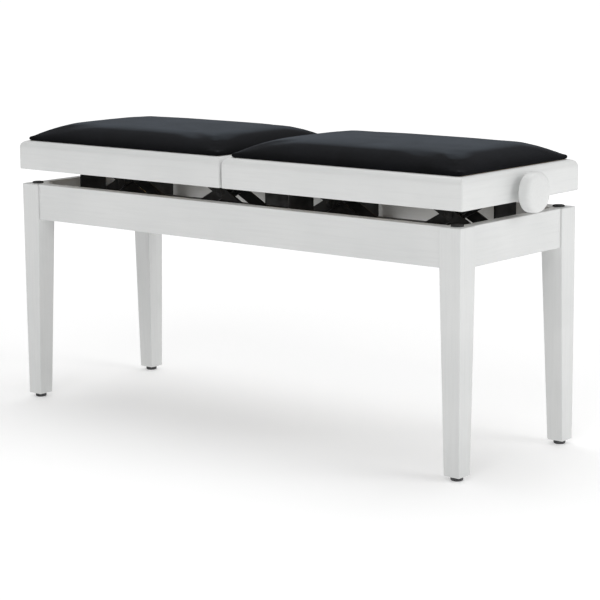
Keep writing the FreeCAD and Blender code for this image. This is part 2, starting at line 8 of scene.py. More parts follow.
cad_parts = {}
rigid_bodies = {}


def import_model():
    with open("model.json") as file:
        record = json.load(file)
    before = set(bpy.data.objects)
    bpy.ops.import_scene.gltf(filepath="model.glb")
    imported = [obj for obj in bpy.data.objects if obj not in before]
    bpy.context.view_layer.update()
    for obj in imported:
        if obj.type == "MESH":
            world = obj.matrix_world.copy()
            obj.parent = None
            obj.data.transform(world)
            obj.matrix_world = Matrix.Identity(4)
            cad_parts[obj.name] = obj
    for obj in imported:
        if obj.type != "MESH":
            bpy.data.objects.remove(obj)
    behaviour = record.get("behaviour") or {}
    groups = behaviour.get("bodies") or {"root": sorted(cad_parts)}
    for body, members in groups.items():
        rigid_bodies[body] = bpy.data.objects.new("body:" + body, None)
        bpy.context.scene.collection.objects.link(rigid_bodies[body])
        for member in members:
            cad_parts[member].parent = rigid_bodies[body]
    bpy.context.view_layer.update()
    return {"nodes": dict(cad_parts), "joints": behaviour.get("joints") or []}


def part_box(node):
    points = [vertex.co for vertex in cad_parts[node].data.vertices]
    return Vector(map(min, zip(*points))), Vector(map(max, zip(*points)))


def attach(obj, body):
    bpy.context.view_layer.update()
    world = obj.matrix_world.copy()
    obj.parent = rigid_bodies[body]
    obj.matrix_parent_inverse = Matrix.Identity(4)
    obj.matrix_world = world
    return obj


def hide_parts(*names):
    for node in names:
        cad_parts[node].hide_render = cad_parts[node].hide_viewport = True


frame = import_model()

# Duet piano bench, in metres: X along the bench, Y front to back, Z up from the floor

mm = 0.001
touching = 0.001 * mm
sides = {"left": -1, "right": 1}
joints = {joint["name"]: joint for joint in frame["joints"]}
print("frame loaded:", len(frame["nodes"]), "nodes")


# ---- material helpers

def startMaterial(name, roughness, metallic=0.0):
    material = bpy.data.materials.new(name)
    material.use_nodes = True
    shader = material.node_tree.nodes["Principled BSDF"]
    shader.inputs["Roughness"].default_value = roughness
    shader.inputs["Metallic"].default_value = metallic
    return material, shader


def addNode(material, kind, **values):
    node = material.node_tree.nodes.new(kind)
    for name, value in values.items():
        node.inputs[name.replace("_", " ")].default_value = value
    return node


def link(material, output, target):
    material.node_tree.links.new(output, target)


def places(material, stretch=(1, 1, 1)):
    # the piece's own coordinates, squeezed along each axis
    coordinates = addNode(material, "ShaderNodeTexCoord")
    mapping = addNode(material, "ShaderNodeMapping", Scale=stretch)
    link(material, coordinates.outputs["Object"], mapping.inputs["Vector"])
    return mapping.outputs["Vector"]


def noiseAt(material, vector, scale, detail=3.0, roughness=0.5, distortion=0.0):
    texture = addNode(material, "ShaderNodeTexNoise", Scale=scale, Detail=detail,
                      Roughness=roughness, Distortion=distortion)
    link(material, vector, texture.inputs["Vector"])
    return texture.outputs["Fac"]


def ramp(material, factor, stops):
    # stops are (place, colour), and a plain number is a grey
    node = addNode(material, "ShaderNodeValToRGB")
    link(material, factor, node.inputs["Fac"])
    elements = node.color_ramp.elements
    while len(elements) < len(stops):
        elements.new(0.5)
    for element, (place, colour) in zip(elements, stops):
        element.position = place
        grey = isinstance(colour, (int, float))
        element.color = (colour, colour, colour, 1) if grey else (*colour, 1)
    return node.outputs["Color"]


def blendColours(material, mode, amount, first, second):
    node = material.node_tree.nodes.new("ShaderNodeMix")
    node.data_type = "RGBA"
    node.blend_type = mode
    if isinstance(amount, float):
        node.inputs["Factor"].default_value = amount
    else:
        link(material, amount, node.inputs["Factor"])
    link(material, first, node.inputs["A"])
    link(material, second, node.inputs["B"])
    return node.outputs["Result"]


def bumpFrom(material, shader, layers):
    # layers are (height, strength, distance in metres), each laid over the last
    normal = None
    for height, strength, distance in layers:
        bump = addNode(material, "ShaderNodeBump", Strength=strength, Distance=distance)
        link(material, height, bump.inputs["Height"])
        if normal:
            link(material, normal, bump.inputs["Normal"])
        normal = bump.outputs["Normal"]
    link(material, normal, shader.inputs["Normal"])


# ---- mesh helpers

def addObject(name, data):
    thing = bpy.data.objects.new(name, data)
    bpy.context.scene.collection.objects.link(thing)
    return thing


def meshFrom(name, bm):
    mesh = bpy.data.meshes.new(name)
    bm.to_mesh(mesh)
    bm.free()
    return mesh


def finishPiece(name, bm, material, body, nodes, bevel=0.0, segments=3, angle=32):
    bmesh.ops.remove_doubles(bm, verts=bm.verts, dist=touching)
    bmesh.ops.recalc_face_normals(bm, faces=bm.faces)
    mesh = meshFrom(name, bm)
    mesh.materials.append(material)
    piece = addObject(name, mesh)
    mesh.shade_smooth()
    if bevel:
        edge = piece.modifiers.new("easedEdges", "BEVEL")
        edge.width = bevel
        edge.segments = segments
        edge.limit_method = "ANGLE"
        edge.angle_limit = math.radians(angle)
        edge.use_clamp_overlap = True
        weighted = piece.modifiers.new("flatFaces", "WEIGHTED_NORMAL")
        weighted.keep_sharp = True
    else:
        mesh.set_sharp_from_angle(angle=math.radians(angle))
    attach(piece, body)
    if nodes:
        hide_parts(*nodes)


def addLoop(bm, points):
    return [bm.verts.new(point) for point in points]


def bridge(bm, first, second):
    count = len(first)
    for i in range(count):
        j = (i + 1) % count
        bm.faces.new([first[i], first[j], second[j], second[i]])


def addPrism(bm, outline, axis, start, end):
    # an outline in the two other axes, in X, Y, Z order, drawn out along an axis
    def place(pair, along):
        values = list(pair)
        values.insert("xyz".index(axis), along)
        return Vector(values)
    first = addLoop(bm, [place(pair, start) for pair in outline])
    second = addLoop(bm, [place(pair, end) for pair in outline])
    bridge(bm, first, second)
    bm.faces.new(first)
    bm.faces.new(list(reversed(second)))


def addBox(bm, low, high):
    outline = [(low[0], low[1]), (high[0], low[1]), (high[0], high[1]), (low[0], high[1])]
    addPrism(bm, outline, "z", low[2], high[2])


def addTurned(bm, profile, middle, axis, segments=48):
    # profile is (along, radius) pairs from one end to the other, closed at both ends
    letters = [float(letter == axis) for letter in "xyz"] if isinstance(axis, str) else axis
    direction = Vector(letters).normalized()
    across = direction.orthogonal().normalized()
    other = direction.cross(across)
    rings = []
    for along, radius in profile:
        centre = Vector(middle) + direction * along
        if radius <= 0:
            rings.append([bm.verts.new(centre)])
            continue
        turns = [2 * math.pi * i / segments for i in range(segments)]
        rings.append(addLoop(bm, [centre + radius * (math.cos(t) * across + math.sin(t) * other)
                                  for t in turns]))
    for first, second in zip(rings, rings[1:]):
        if len(first) == 1 or len(second) == 1:
            tip, ring = (first, second) if len(first) == 1 else (second, first)
            for i in range(segments):
                bm.faces.new([tip[0], ring[i], ring[(i + 1) % segments]])
        else:
            bridge(bm, first, second)
    for ring in (rings[0], rings[-1]):
        if len(ring) > 1:
            bm.faces.new(ring)


def arc(centre, radius, fromAngle, toAngle, steps):
    angles = [math.radians(fromAngle + (toAngle - fromAngle) * i / steps) for i in range(steps + 1)]
    return [(centre[0] + radius * math.cos(a), centre[1] + radius * math.sin(a)) for a in angles]


def hexagon(bm, middle, axis, across, height, start):
    # a hexagon nut or head with its corners turned off
    direction = Vector(axis).normalized()
    corner = across / math.sqrt(3)
    profile = [(0, corner * 0.93), (height * 0.12, corner), (height * 0.88, corner), (height, corner * 0.9)]
    addTurned(bm, [(start + along, radius) for along, radius in profile], middle, direction, segments=6)


# ---- wooden frame and seats: satin white lacquer on beech

lacquerLook = dict(light=(0.765, 0.772, 0.765), dark=(0.715, 0.725, 0.72), grainAcross=230, grainAlong=9,
                   cloudScale=7, peelScale=1400, grainShare=0.55, coat=0.12, coatRoughness=0.22)


def lacquer(name, grain):
    material, shader = startMaterial(name, 0.36)
    stretch = [lacquerLook["grainAcross"]] * 3
    stretch["xyz".index(grain)] = lacquerLook["grainAlong"]
    along = places(material, stretch)
    even = places(material)
    cloudy = noiseAt(material, even, lacquerLook["cloudScale"], detail=4)
    pores = noiseAt(material, along, 1, detail=5, roughness=0.65)
    peel = noiseAt(material, even, lacquerLook["peelScale"], detail=2)
    base = ramp(material, cloudy, [(0.3, lacquerLook["dark"]), (0.7, lacquerLook["light"])])
    grainTint = ramp(material, pores, [(0.3, 0.93), (0.55, 1.0)])
    tinted = blendColours(material, "MULTIPLY", lacquerLook["grainShare"], base, grainTint)
    link(material, tinted, shader.inputs["Base Color"])
    link(material, ramp(material, cloudy, [(0.3, 0.42), (0.7, 0.32)]), shader.inputs["Roughness"])
    bumpFrom(material, shader, [(pores, 0.16, 0.0004), (peel, 0.05, 0.0002)])
    shader.inputs["Coat Weight"].default_value = lacquerLook["coat"]
    shader.inputs["Coat Roughness"].default_value = lacquerLook["coatRoughness"]
    return material


lacquers = {grain: lacquer("whiteLacquer" + grain.upper(), grain) for grain in "xyz"}
legShape = dict(footSide=30 * mm, ease=1.6 * mm, kneeBelowTop=64 * mm)


def buildLegs():
    for name, side in sides.items():
        for row, rowSign in (("front", -1), ("back", 1)):
            node = "leg_%s_%s" % (row, name)
            low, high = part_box(node)
            outerX, innerX = (high.x, low.x) if side > 0 else (low.x, high.x)
            outerY, innerY = (high.y, low.y) if rowSign > 0 else (low.y, high.y)
            footX = outerX - side * legShape["footSide"]
            footY = outerY - rowSign * legShape["footSide"]
            bm = bmesh.new()
            rings = []
            for x, y, z in ((footX, footY, low.z), (innerX, innerY, high.z - legShape["kneeBelowTop"]),
                            (innerX, innerY, high.z)):
                rings.append(addLoop(bm, [(outerX, outerY, z), (x, outerY, z), (x, y, z), (outerX, y, z)]))
            for first, second in zip(rings, rings[1:]):
                bridge(bm, first, second)
            bm.faces.new(rings[0])
            bm.faces.new(rings[-1])
            finishPiece("leg-%s-%s" % (row, name), bm, lacquers["z"], "frame", [node],
                        legShape["ease"])


apronShape = dict(ease=1.0 * mm, crossEase=1.5 * mm)


def buildAprons():
    # boards between the legs, their shoulders tight against them
    leftHigh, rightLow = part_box("leg_front_left")[1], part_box("leg_back_right")[0]
    for node in ("apron_front", "apron_back", "apron_left", "apron_right"):
        low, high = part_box(node)
        if node in ("apron_front", "apron_back"):
            low.x, high.x = leftHigh.x, rightLow.x
        else:
            low.y, high.y = leftHigh.y, rightLow.y
        bm = bmesh.new()
        addBox(bm, low, high)
        grain = "x" if node in ("apron_front", "apron_back") else "y"
        finishPiece(node.replace("_", "-"), bm, lacquers[grain], "frame", [node],
                    apronShape["ease"])
    low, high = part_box("cross_rail")
    low.y, high.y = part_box("apron_front")[1].y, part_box("apron_back")[0].y
    bm = bmesh.new()
    addBox(bm, low, high)
    finishPiece("cross-rail", bm, lacquers["y"], "frame", ["cross_rail"], apronShape["crossEase"])


railShape = dict(round=13 * mm, board=22 * mm, rebate=8.7 * mm, rebateDepth=12 * mm, lowerEase=1.8 * mm,
                 ledgeEase=0.6 * mm, innerEase=0.8 * mm, corner=3.0 * mm, joint=0.06 * mm)


def railProfile(drop):
    # (depth behind the outer face, height above the lower edge)
    shape = railShape
    ease, curve = shape["lowerEase"], shape["round"]
    ledge = shape["board"] - shape["rebate"]
    floor, board = drop - shape["rebateDepth"], shape["board"]
    lower = arc((ease, ease), ease, 270, 180, 4)
    upper = arc((curve, drop - curve), curve, 180, 90, 12)
    inner = [(ledge, drop), (ledge, floor), (board - shape["ledgeEase"], floor),
             (board, floor - shape["ledgeEase"]), (board, shape["innerEase"]), (board - shape["innerEase"], 0)]
    return lower + upper + inner


def seatBox(name):
    boxes = [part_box("seat_rail_%s_%s" % (place, name)) for place in ("front", "back", "outer", "inner")]
    low = Vector([min(box[0][i] for box in boxes) for i in range(3)])
    high = Vector([max(box[1][i] for box in boxes) for i in range(3)])
    return low, high


def buildRail(name, place, body):
    # one mitred rail, from the joint at its left or front end to the joint at the other
    low, high = seatBox(name)
    middle = (low + high) / 2
    side = sides[name]
    lengthwise = place in ("front", "back")
    half = (high - low) / 2
    halfAlong, halfOut = (half.x, half.y) if lengthwise else (half.y, half.x)
    outward = {"front": -1, "back": 1, "outer": side, "inner": -side}[place]
    profile = railProfile(high.z - low.z)
    bm = bmesh.new()
    rings = []
    for end in (-1, 1):
        for turn in ([0, 15, 30, 45] if end > 0 else [45, 30, 15, 0]):
            angle = math.radians(turn)
            ring = []
            for depth, height in profile:
                spare = max(railShape["corner"] - depth, 0)
                base = max(railShape["corner"], depth)
                along = halfAlong - base + spare * math.sin(angle)
                out = halfOut - base + spare * math.cos(angle)
                if turn == 45:
                    along -= railShape["joint"]
                along, out = end * along, outward * out
                flat = (along, out) if lengthwise else (out, along)
                ring.append(bm.verts.new((middle.x + flat[0], middle.y + flat[1], low.z + height)))
            rings.append(ring)
    for first, second in zip(rings, rings[1:]):
        bridge(bm, first, second)
    bm.faces.new(rings[0])
    bm.faces.new(rings[-1])
    node = "seat_rail_%s_%s" % (place, name)
    finishPiece(node.replace("_", "-"), bm, lacquers["x" if lengthwise else "y"], body, [node],
                angle=40)


knobShape = dict(frontRound=8 * mm, backRound=2 * mm, neckRadius=13 * mm, neckLength=11.7 * mm, neckEase=1 * mm,
                 neckFlare=2 * mm, flareStep=0.6 * mm, dome=0.7 * mm)


def buildKnob(name, body):
    side = sides[name]
    low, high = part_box("knob_" + name)
    shape = knobShape
    radius, length = (high.z - low.z) / 2, high.x - low.x
    start = Vector((low.x if side > 0 else high.x, 0, (low.z + high.z) / 2))
    neck, front, back = shape["neckLength"], shape["frontRound"], shape["backRound"]
    slim, flare, step = shape["neckRadius"], shape["neckFlare"], shape["flareStep"]
    profile = [(0, 0), (0, slim - shape["neckEase"]), (shape["neckEase"], slim), (neck - flare, slim),
               (neck - step, slim + step), (neck, slim + flare)]
    profile += arc((neck + back, radius - back), back, 180, 90, 5)
    profile += arc((length - front - shape["dome"], radius - front), front, 90, 8, 12)
    edge = profile[-1][1]
    profile += [(length - shape["dome"] * (r / edge) ** 2, r) for r in (edge * 0.75, edge * 0.5, edge * 0.25)]
    profile.append((length, 0))
    bm = bmesh.new()
    addTurned(bm, profile, start, (side, 0, 0), segments=96)
    finishPiece("knob-" + name, bm, lacquers["x"], body, ["knob_" + name], angle=50)


buildLegs()
buildAprons()
for sideName in sides:
    for railPlace in ("front", "back", "outer", "inner"):
        buildRail(sideName, railPlace, "seat_" + sideName)
    buildKnob(sideName, "spindle_" + sideName)
print("wooden frame, seat rails and knobs built")


# ---- small parts of the frame

def mouldedPlastic(name, light, dark, roughness):
    material, shader = startMaterial(name, roughness)
    even = places(material)
    cloudy = noiseAt(material, even, 60, detail=3)
    grainy = noiseAt(material, even, 2600, detail=2)
    link(material, ramp(material, cloudy, [(0.35, dark), (0.65, light)]), shader.inputs["Base Color"])
    sheen = ramp(material, grainy, [(0.3, roughness - 0.06), (0.7, roughness + 0.08)])
    link(material, sheen, shader.inputs["Roughness"])
    bumpFrom(material, shader, [(grainy, 0.12, 0.0001)])
    return material


darkPlastic = mouldedPlastic("darkPlastic", (0.055, 0.055, 0.058), (0.035, 0.035, 0.037), 0.5)
nylon = mouldedPlastic("naturalNylon", (0.74, 0.71, 0.62), (0.66, 0.63, 0.54), 0.42)
blackRubber = mouldedPlastic("blackRubber", (0.028, 0.028, 0.028), (0.018, 0.018, 0.019), 0.72)


def buildGlidesAndPads():
    for node, material, slot, profile in (
            ("foot_glides", darkPlastic, "dark_plastic",
             [(0, 0), (0, 8.4), (0.5, 9.4), (1.6, 10), (5.2, 10), (5.6, 9.4), (7, 9.4), (7, 0)]),
            ("rest_pads", blackRubber, "black_rubber",
             [(0, 0), (0, 10), (1.6, 10), (2.5, 9.4), (2.9, 8), (3, 5), (3, 0)])):
        low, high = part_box(node)
        radius = 10 * mm
        bm = bmesh.new()
        for x in (low.x + radius, high.x - radius):
            for y in (low.y + radius, high.y - radius):
                addTurned(bm, [(a * mm, r * mm) for a, r in profile], (x, y, low.z), "z")
        finishPiece(node.replace("_", "-"), bm, material, "frame", [node], angle=50)


buildGlidesAndPads()
print("glides and rest pads built")


# ---- steel, zinc and brass

def paintedSteel(name):
    # black powder coat, with a painted highlight of lighter grey along its sharp edges
    material, shader = startMaterial(name, 0.45)
    even = places(material)
    cloudy = noiseAt(material, even, 35, detail=5)
    peel = noiseAt(material, even, 1500, detail=3)
    base = ramp(material, cloudy, [(0.3, 0.004), (0.7, 0.009)])
    geometry = addNode(material, "ShaderNodeNewGeometry")
    paintedHighlightMask = ramp(material, geometry.outputs["Pointiness"], [(0.53, 0.0), (0.60, 0.5)])
    paintedEdgeHighlight = ramp(material, cloudy, [(0.4, 0.03), (0.6, 0.10)])
    shader.inputs["Specular IOR Level"].default_value = 0.3
    link(material, blendColours(material, "MIX", paintedHighlightMask, base, paintedEdgeHighlight), shader.inputs["Base Color"])
    link(material, ramp(material, peel, [(0.3, 0.36), (0.7, 0.52)]), shader.inputs["Roughness"])
    bumpFrom(material, shader, [(peel, 0.25, 0.0002)])
    return material


def brightMetal(name, light, dark, roughness, scratches):
    material, shader = startMaterial(name, roughness, 1.0)
    even = places(material)
    brushed = places(material, (60, 900, 900))
    cloudy = noiseAt(material, even, 90, detail=5)
    lines = noiseAt(material, brushed, 1, detail=4, roughness=0.6)
    link(material, ramp(material, cloudy, [(0.35, dark), (0.65, light)]), shader.inputs["Base Color"])
    sheen = ramp(material, lines, [(0.3, roughness - 0.08), (0.7, roughness + 0.12)])
    link(material, sheen, shader.inputs["Roughness"])
    bumpFrom(material, shader, [(lines, scratches, 0.00015)])
    return material


blackSteel = paintedSteel("blackSteel")
zincSteel = brightMetal("zincSteel", (0.72, 0.72, 0.70), (0.56, 0.57, 0.58), 0.28, 0.15)
brassMetal = brightMetal("brassMetal", (0.80, 0.62, 0.30), (0.62, 0.45, 0.19), 0.30, 0.2)


# ---- corner brackets and leg bolts

cornerShape = dict(reach=43 * mm, flange=15 * mm, sheet=3 * mm, ease=3 * mm, acrossFlats=13 * mm,
                   nutHeight=6 * mm, washer=8.5 * mm, washerSheet=1.4 * mm, boltRadius=4 * mm, boltIn=10 * mm,
                   threadDepth=0.5 * mm, threadLength=30 * mm, pitch=1.25 * mm)


def bentStrip(bm, path, sheet, low, high, axis):
    # a sheet-metal strip that follows a path in plan, drawn from low to high along an axis
    last = len(path) - 1
    back = []
    for i, point in enumerate(path):
        earlier, later = Vector(path[max(i - 1, 0)]), Vector(path[min(i + 1, last)])
        ahead = later - earlier
        sideways = Vector((-ahead.y, ahead.x)).normalized()
        before, after = Vector(point) - earlier, later - Vector(point)
        spread = 1.0
        if before.length and after.length:
            spread = 1 / max(math.cos(before.angle(after) / 2), 0.5)
        back.append(tuple(Vector(point) + sideways * sheet * spread))
    addPrism(bm, list(path) + back[::-1], axis, low, high)


def buildCorners():
    shape = cornerShape
    brackets, bolts = bmesh.new(), bmesh.new()
    low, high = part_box("corner_brackets")
    insideX, insideY = high.x, high.y
    middleZ = (low.z + high.z) / 2
    reach, flange, ease = shape["reach"], shape["flange"], shape["ease"]
    washer, washerSheet, pitch = shape["washer"], shape["washerSheet"], shape["pitch"]
    core = shape["boltRadius"] - shape["threadDepth"]
    for sx in (-1, 1):
        for sy in (-1, 1):
            # distances in from the corner of the two aprons, rounded where the sheet bends
            path = [(0, reach + flange), (0, reach + ease), (ease * 0.3, reach - ease * 0.6)]
            path += [(reach - ease * 0.6, ease * 0.3), (reach + ease, 0), (reach + flange, 0)]
            plan = [(sx * (insideX - a), sy * (insideY - b)) for a, b in path]
            if sx * sy < 0:
                plan.reverse()
            bentStrip(brackets, plan, shape["sheet"], low.z, high.z, "z")
            outward = Vector((sx, sy, 0)).normalized()
            middle = Vector((sx * (insideX - reach / 2), sy * (insideY - reach / 2), middleZ))
            plate = middle - outward * shape["sheet"]
            addTurned(bolts, [(0, 0), (0, washer), (-washerSheet, washer), (-washerSheet, 0)], plate, outward)
            hexagon(bolts, plate, outward, shape["acrossFlats"], -shape["nutHeight"], -washerSheet)
            tip = -shape["boltIn"] + shape["sheet"]
            threads = [(tip, 0), (tip, 3.2 * mm)]
            for i in range(int(shape["threadLength"] / pitch)):
                valley, crest = tip + i * pitch + 0.1 * mm, tip + (i + 0.5) * pitch
                threads += [(valley, core), (crest, shape["boltRadius"])]
            threads.append((threads[-1][0] + 0.5 * mm, 0))
            addTurned(bolts, threads, plate, outward, segments=24)
    finishPiece("corner-brackets", brackets, zincSteel, "frame", ["corner_brackets"], 0.5 * mm, 2)
    finishPiece("leg-bolts", bolts, zincSteel, "frame", ["leg_bolts"], angle=40)


buildCorners()
print("corner brackets and leg bolts built")


# ---- the lifts' steel base

baseShape = dict(bearerSheet=4 * mm, bearerHalf=20 * mm, bendRadius=6 * mm, channelSheet=3.2 * mm,
                 channelBend=3 * mm, channelInner=30 * mm, channelHalf=214 * mm)
screwShape = dict(apart=10 * mm, radius=4.5 * mm, rise=2.4 * mm)


def buildBearers():
    low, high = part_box("base_bearers")
    sheet, bend, half = baseShape["bearerSheet"], baseShape["bendRadius"], baseShape["bearerHalf"]
    bm = bmesh.new()
    for middle in bearerMiddles():
        path = [(low.y, high.z), (low.y, low.z + bend)]
        path += arc((low.y + bend, low.z + bend), bend, 180, 270, 5)
        path += arc((high.y - bend, low.z + bend), bend, 270, 360, 5) + [(high.y, high.z)]
        bentStrip(bm, path, sheet, middle - half, middle + half, "x")
    finishPiece("base-bearers", bm, blackSteel, "frame", ["base_bearers"], 0.6 * mm, 2)


def seatMiddle(name):
    low, high = seatBox(name)
    return (low.x + high.x) / 2


def bearerMiddles():
    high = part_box("base_bearers")[1]
    outer = high.x - baseShape["bearerHalf"] - seatMiddle("right")
    return [seatMiddle(name) + end * outer for name in sides for end in (-1, 1)]


def screwHead(bm, middle, axis, radius, rise):
    # a plain domed head
    direction = Vector(axis).normalized()
    profile = [(0, 0), (0, radius), (rise * 0.35, radius), (rise * 0.75, radius * 0.82),
               (rise, radius * 0.5), (rise, 0)]
    addTurned(bm, profile, middle, direction, segments=24)


def buildBearerScrews():
    low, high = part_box("bearer_screws")
    bm = bmesh.new()
    z = (low.z + high.z) / 2
    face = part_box("base_bearers")[1].y - baseShape["bearerSheet"]
    for middle in bearerMiddles():
        for x in (middle - screwShape["apart"], middle + screwShape["apart"]):
            for sy in (-1, 1):
                screwHead(bm, (x, sy * face, z), (0, -sy, 0), screwShape["radius"], screwShape["rise"])
    finishPiece("bearer-screws", bm, zincSteel, "frame", ["bearer_screws"], angle=40)


def buildChannels():
    low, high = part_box("guide_channels")
    sheet, bend = baseShape["channelSheet"], baseShape["channelBend"]
    inner, half, back = baseShape["channelInner"], baseShape["channelHalf"], high.y
    bm = bmesh.new()
    for name in sides:
        middle = seatMiddle(name)
        for sy in (-1, 1):
            path = [(inner, high.z)] + arc((back - bend, high.z - bend), bend, 90, 0, 4)
            path += arc((back - bend, low.z + bend), bend, 0, -90, 4) + [(inner, low.z)]
            path = [(sy * y, z) for y, z in path]
            if sy < 0:
                path.reverse()
            bentStrip(bm, path, sheet, middle - half, middle + half, "x")
    finishPiece("guide-channels", bm, blackSteel, "frame", ["guide_channels"], 0.5 * mm, 2)


def fixedPivots():
    return [Vector(joint["pos_m"]) for joint in frame["joints"] if joint["parent"] == "frame"]


pivotShape = dict(half=14 * mm, earInner=16 * mm, earOuter=19 * mm, earRound=12 * mm, rodReach=27.5 * mm,
                  rodRadius=5 * mm, rodEase=0.6 * mm)


def buildPivotBrackets():
    low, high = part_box("pivot_brackets")
    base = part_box("guide_channels")[0].z
    brackets, rods = bmesh.new(), bmesh.new()
    shape = pivotShape
    half, earNear, earFar = shape["half"], shape["earInner"], shape["earOuter"]
    reach, radius, ease = shape["rodReach"], shape["rodRadius"], shape["rodEase"]
    for pivot in fixedPivots():
        addBox(brackets, (pivot.x - half, low.y, low.z), (pivot.x + half, high.y, base))
        for near, far in ((earNear, earFar), (-earFar, -earNear)):
            # an ear with a round top
            top = arc((pivot.x, pivot.z), shape["earRound"], 0, 180, 12)
            outline = [(pivot.x + half, base)] + top + [(pivot.x - half, base)]
            addPrism(brackets, outline, "y", near, far)
        shaft = [(-reach, 0), (-reach, radius - ease), (-reach + ease, radius), (reach - ease, radius),
                 (reach, radius - ease), (reach, 0)]
        addTurned(rods, shaft, pivot, "y", segments=32)
    finishPiece("pivot-brackets", brackets, blackSteel, "frame", ["pivot_brackets"], 0.5 * mm, 2)
    finishPiece("pivot-rods", rods, zincSteel, "frame", ["pivot_rods"], angle=40)


shieldShape = dict(fromMiddle=143 * mm, sheet=3 * mm, foot=14 * mm, corner=6 * mm, boltFromEdge=7.5 * mm,
                   backInner=70 * mm, frontOuter=108 * mm)
shieldBolt = dict(washer=7.5 * mm, washerSheet=1.2 * mm, across=9.5 * mm, head=3 * mm, radius=4 * mm,
                  fromX=-7 * mm, toX=4.2 * mm)


def shieldPlate(bm, x, ys, low, high, footward):
    # upright sheet with two round top corners and a foot along its lower edge
    corner, half = shieldShape["corner"], shieldShape["sheet"] / 2
    outline = [(ys[0], low.z), (ys[1], low.z)]
    outline += arc((ys[1] - corner, high.z - corner), corner, 0, 90, 5)
    outline += arc((ys[0] + corner, high.z - corner), corner, 90, 180, 5)
    addPrism(bm, outline, "x", x - half, x + half)
    footX = sorted((x, x + footward * shieldShape["foot"]))
    addBox(bm, (footX[0], ys[0], low.z), (footX[1], ys[1], low.z + shieldShape["sheet"]))


def buildShields():
    low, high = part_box("shield_plates")
    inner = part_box("guide_channels")[1].y
    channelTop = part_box("guide_channels")[1].z
    boltLow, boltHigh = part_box("shield_bolts")
    boltZ = (boltLow.z + boltHigh.z) / 2
    boltY = boltHigh.y - shieldShape["boltFromEdge"]
    sheet, half = shieldShape["sheet"], shieldShape["sheet"] / 2
    wide, thick, radius = shieldBolt["washer"], shieldBolt["washerSheet"], shieldBolt["radius"]
    fromX, toX = shieldBolt["fromX"], shieldBolt["toX"]
    washer = [(0, 0), (0, wide - 0.1 * mm), (thick - 0.3 * mm, wide), (thick, wide - 0.3 * mm), (thick, 0)]
    shaft = [(fromX, 0), (fromX, radius - 0.6 * mm), (fromX + 0.6 * mm, radius), (toX - 0.4 * mm, radius),
             (toX, radius - 0.6 * mm), (toX, 0)]
    plates, bolts = bmesh.new(), bmesh.new()
    for name in sides:
        x = seatMiddle(name) - shieldShape["fromMiddle"]
        for sy in (-1, 1):
            near = sy * inner
            far = high.y if sy > 0 else -shieldShape["frontOuter"]
            shieldPlate(plates, x, sorted((near, far)), low, high, 1)
            flangeY = sorted((near, near + sy * sheet))
            addBox(plates, (x, flangeY[0], low.z), (x + shieldShape["foot"], flangeY[1], channelTop))
            middle = (x + half, sy * boltY, boltZ)
            addTurned(bolts, washer, middle, "x", segments=36)
            hexagon(bolts, middle, (1, 0, 0), shieldBolt["across"], shieldBolt["head"], thick)
            addTurned(bolts, shaft, middle, "x", segments=24)
        behind = seatMiddle(name) + shieldShape["fromMiddle"]
        shieldPlate(plates, behind, (shieldShape["backInner"], high.y), low, high, -1)
    finishPiece("shield-plates", plates, blackSteel, "frame", ["shield_plates"], 0.5 * mm, 2)
    finishPiece("shield-bolts", bolts, brassMetal, "frame", ["shield_bolts"], angle=40)


buildBearers()
buildBearerScrews()
buildChannels()
buildPivotBrackets()
buildShields()
print("steel base built")


# ---- scissors: straps, pins, shoes and nut blocks

strapShape = dict(width=20 * mm, sheet=4 * mm, outerY=24 * mm, innerY=18 * mm, pin=5 * mm, pinEase=0.7 * mm,
                  pinPast=1.5 * mm, washer=8.5 * mm, washerSheet=1.1 * mm, axleReach=40.6 * mm)
shoeShape = dict(inner=31 * mm, width=10 * mm, ease=1.6 * mm)
blockShape = dict(half=13 * mm, endLength=28 * mm, ease=1.2 * mm)


def strapPair(bm, lower, upper, strapY):
    # two flat straps with round ends, one on each side of the middle
    length = (upper - lower).length
    radius, sheet = strapShape["width"] / 2, strapShape["sheet"]
    outline = arc((length, 0), radius, -90, 90, 16) + arc((0, 0), radius, 90, 270, 16)
    start = bm.verts[:]
    for y in (strapY, -strapY):
        addPrism(bm, outline, "y", y - sheet / 2, y + sheet / 2)
    along = (upper - lower).normalized()
    turn = Matrix((along, (0, 1, 0), along.cross(Vector((0, 1, 0))))).transposed()
    fresh = [vert for vert in bm.verts if vert not in start]
    for vert in fresh:
        vert.co = lower + turn @ vert.co


def pinWithHeads(bm, middle, reach, headFaces=()):
    radius, ease = strapShape["pin"], strapShape["pinEase"]
    wide, thick = strapShape["washer"], strapShape["washerSheet"]
    shaft = [(-reach, 0), (-reach, radius - ease), (-reach + ease, radius),
             (reach - ease, radius), (reach, radius - ease), (reach, 0)]
    addTurned(bm, shaft, middle, "y", segments=32)
    washer = [(0, 0), (0, wide), (thick - 0.2 * mm, wide), (thick, wide - 0.3 * mm), (thick, 0)]
    for face in headFaces:
        for sign in (-1, 1):
            addTurned(bm, washer, Vector(middle) + Vector((0, sign * face, 0)), (0, sign, 0), segments=32)


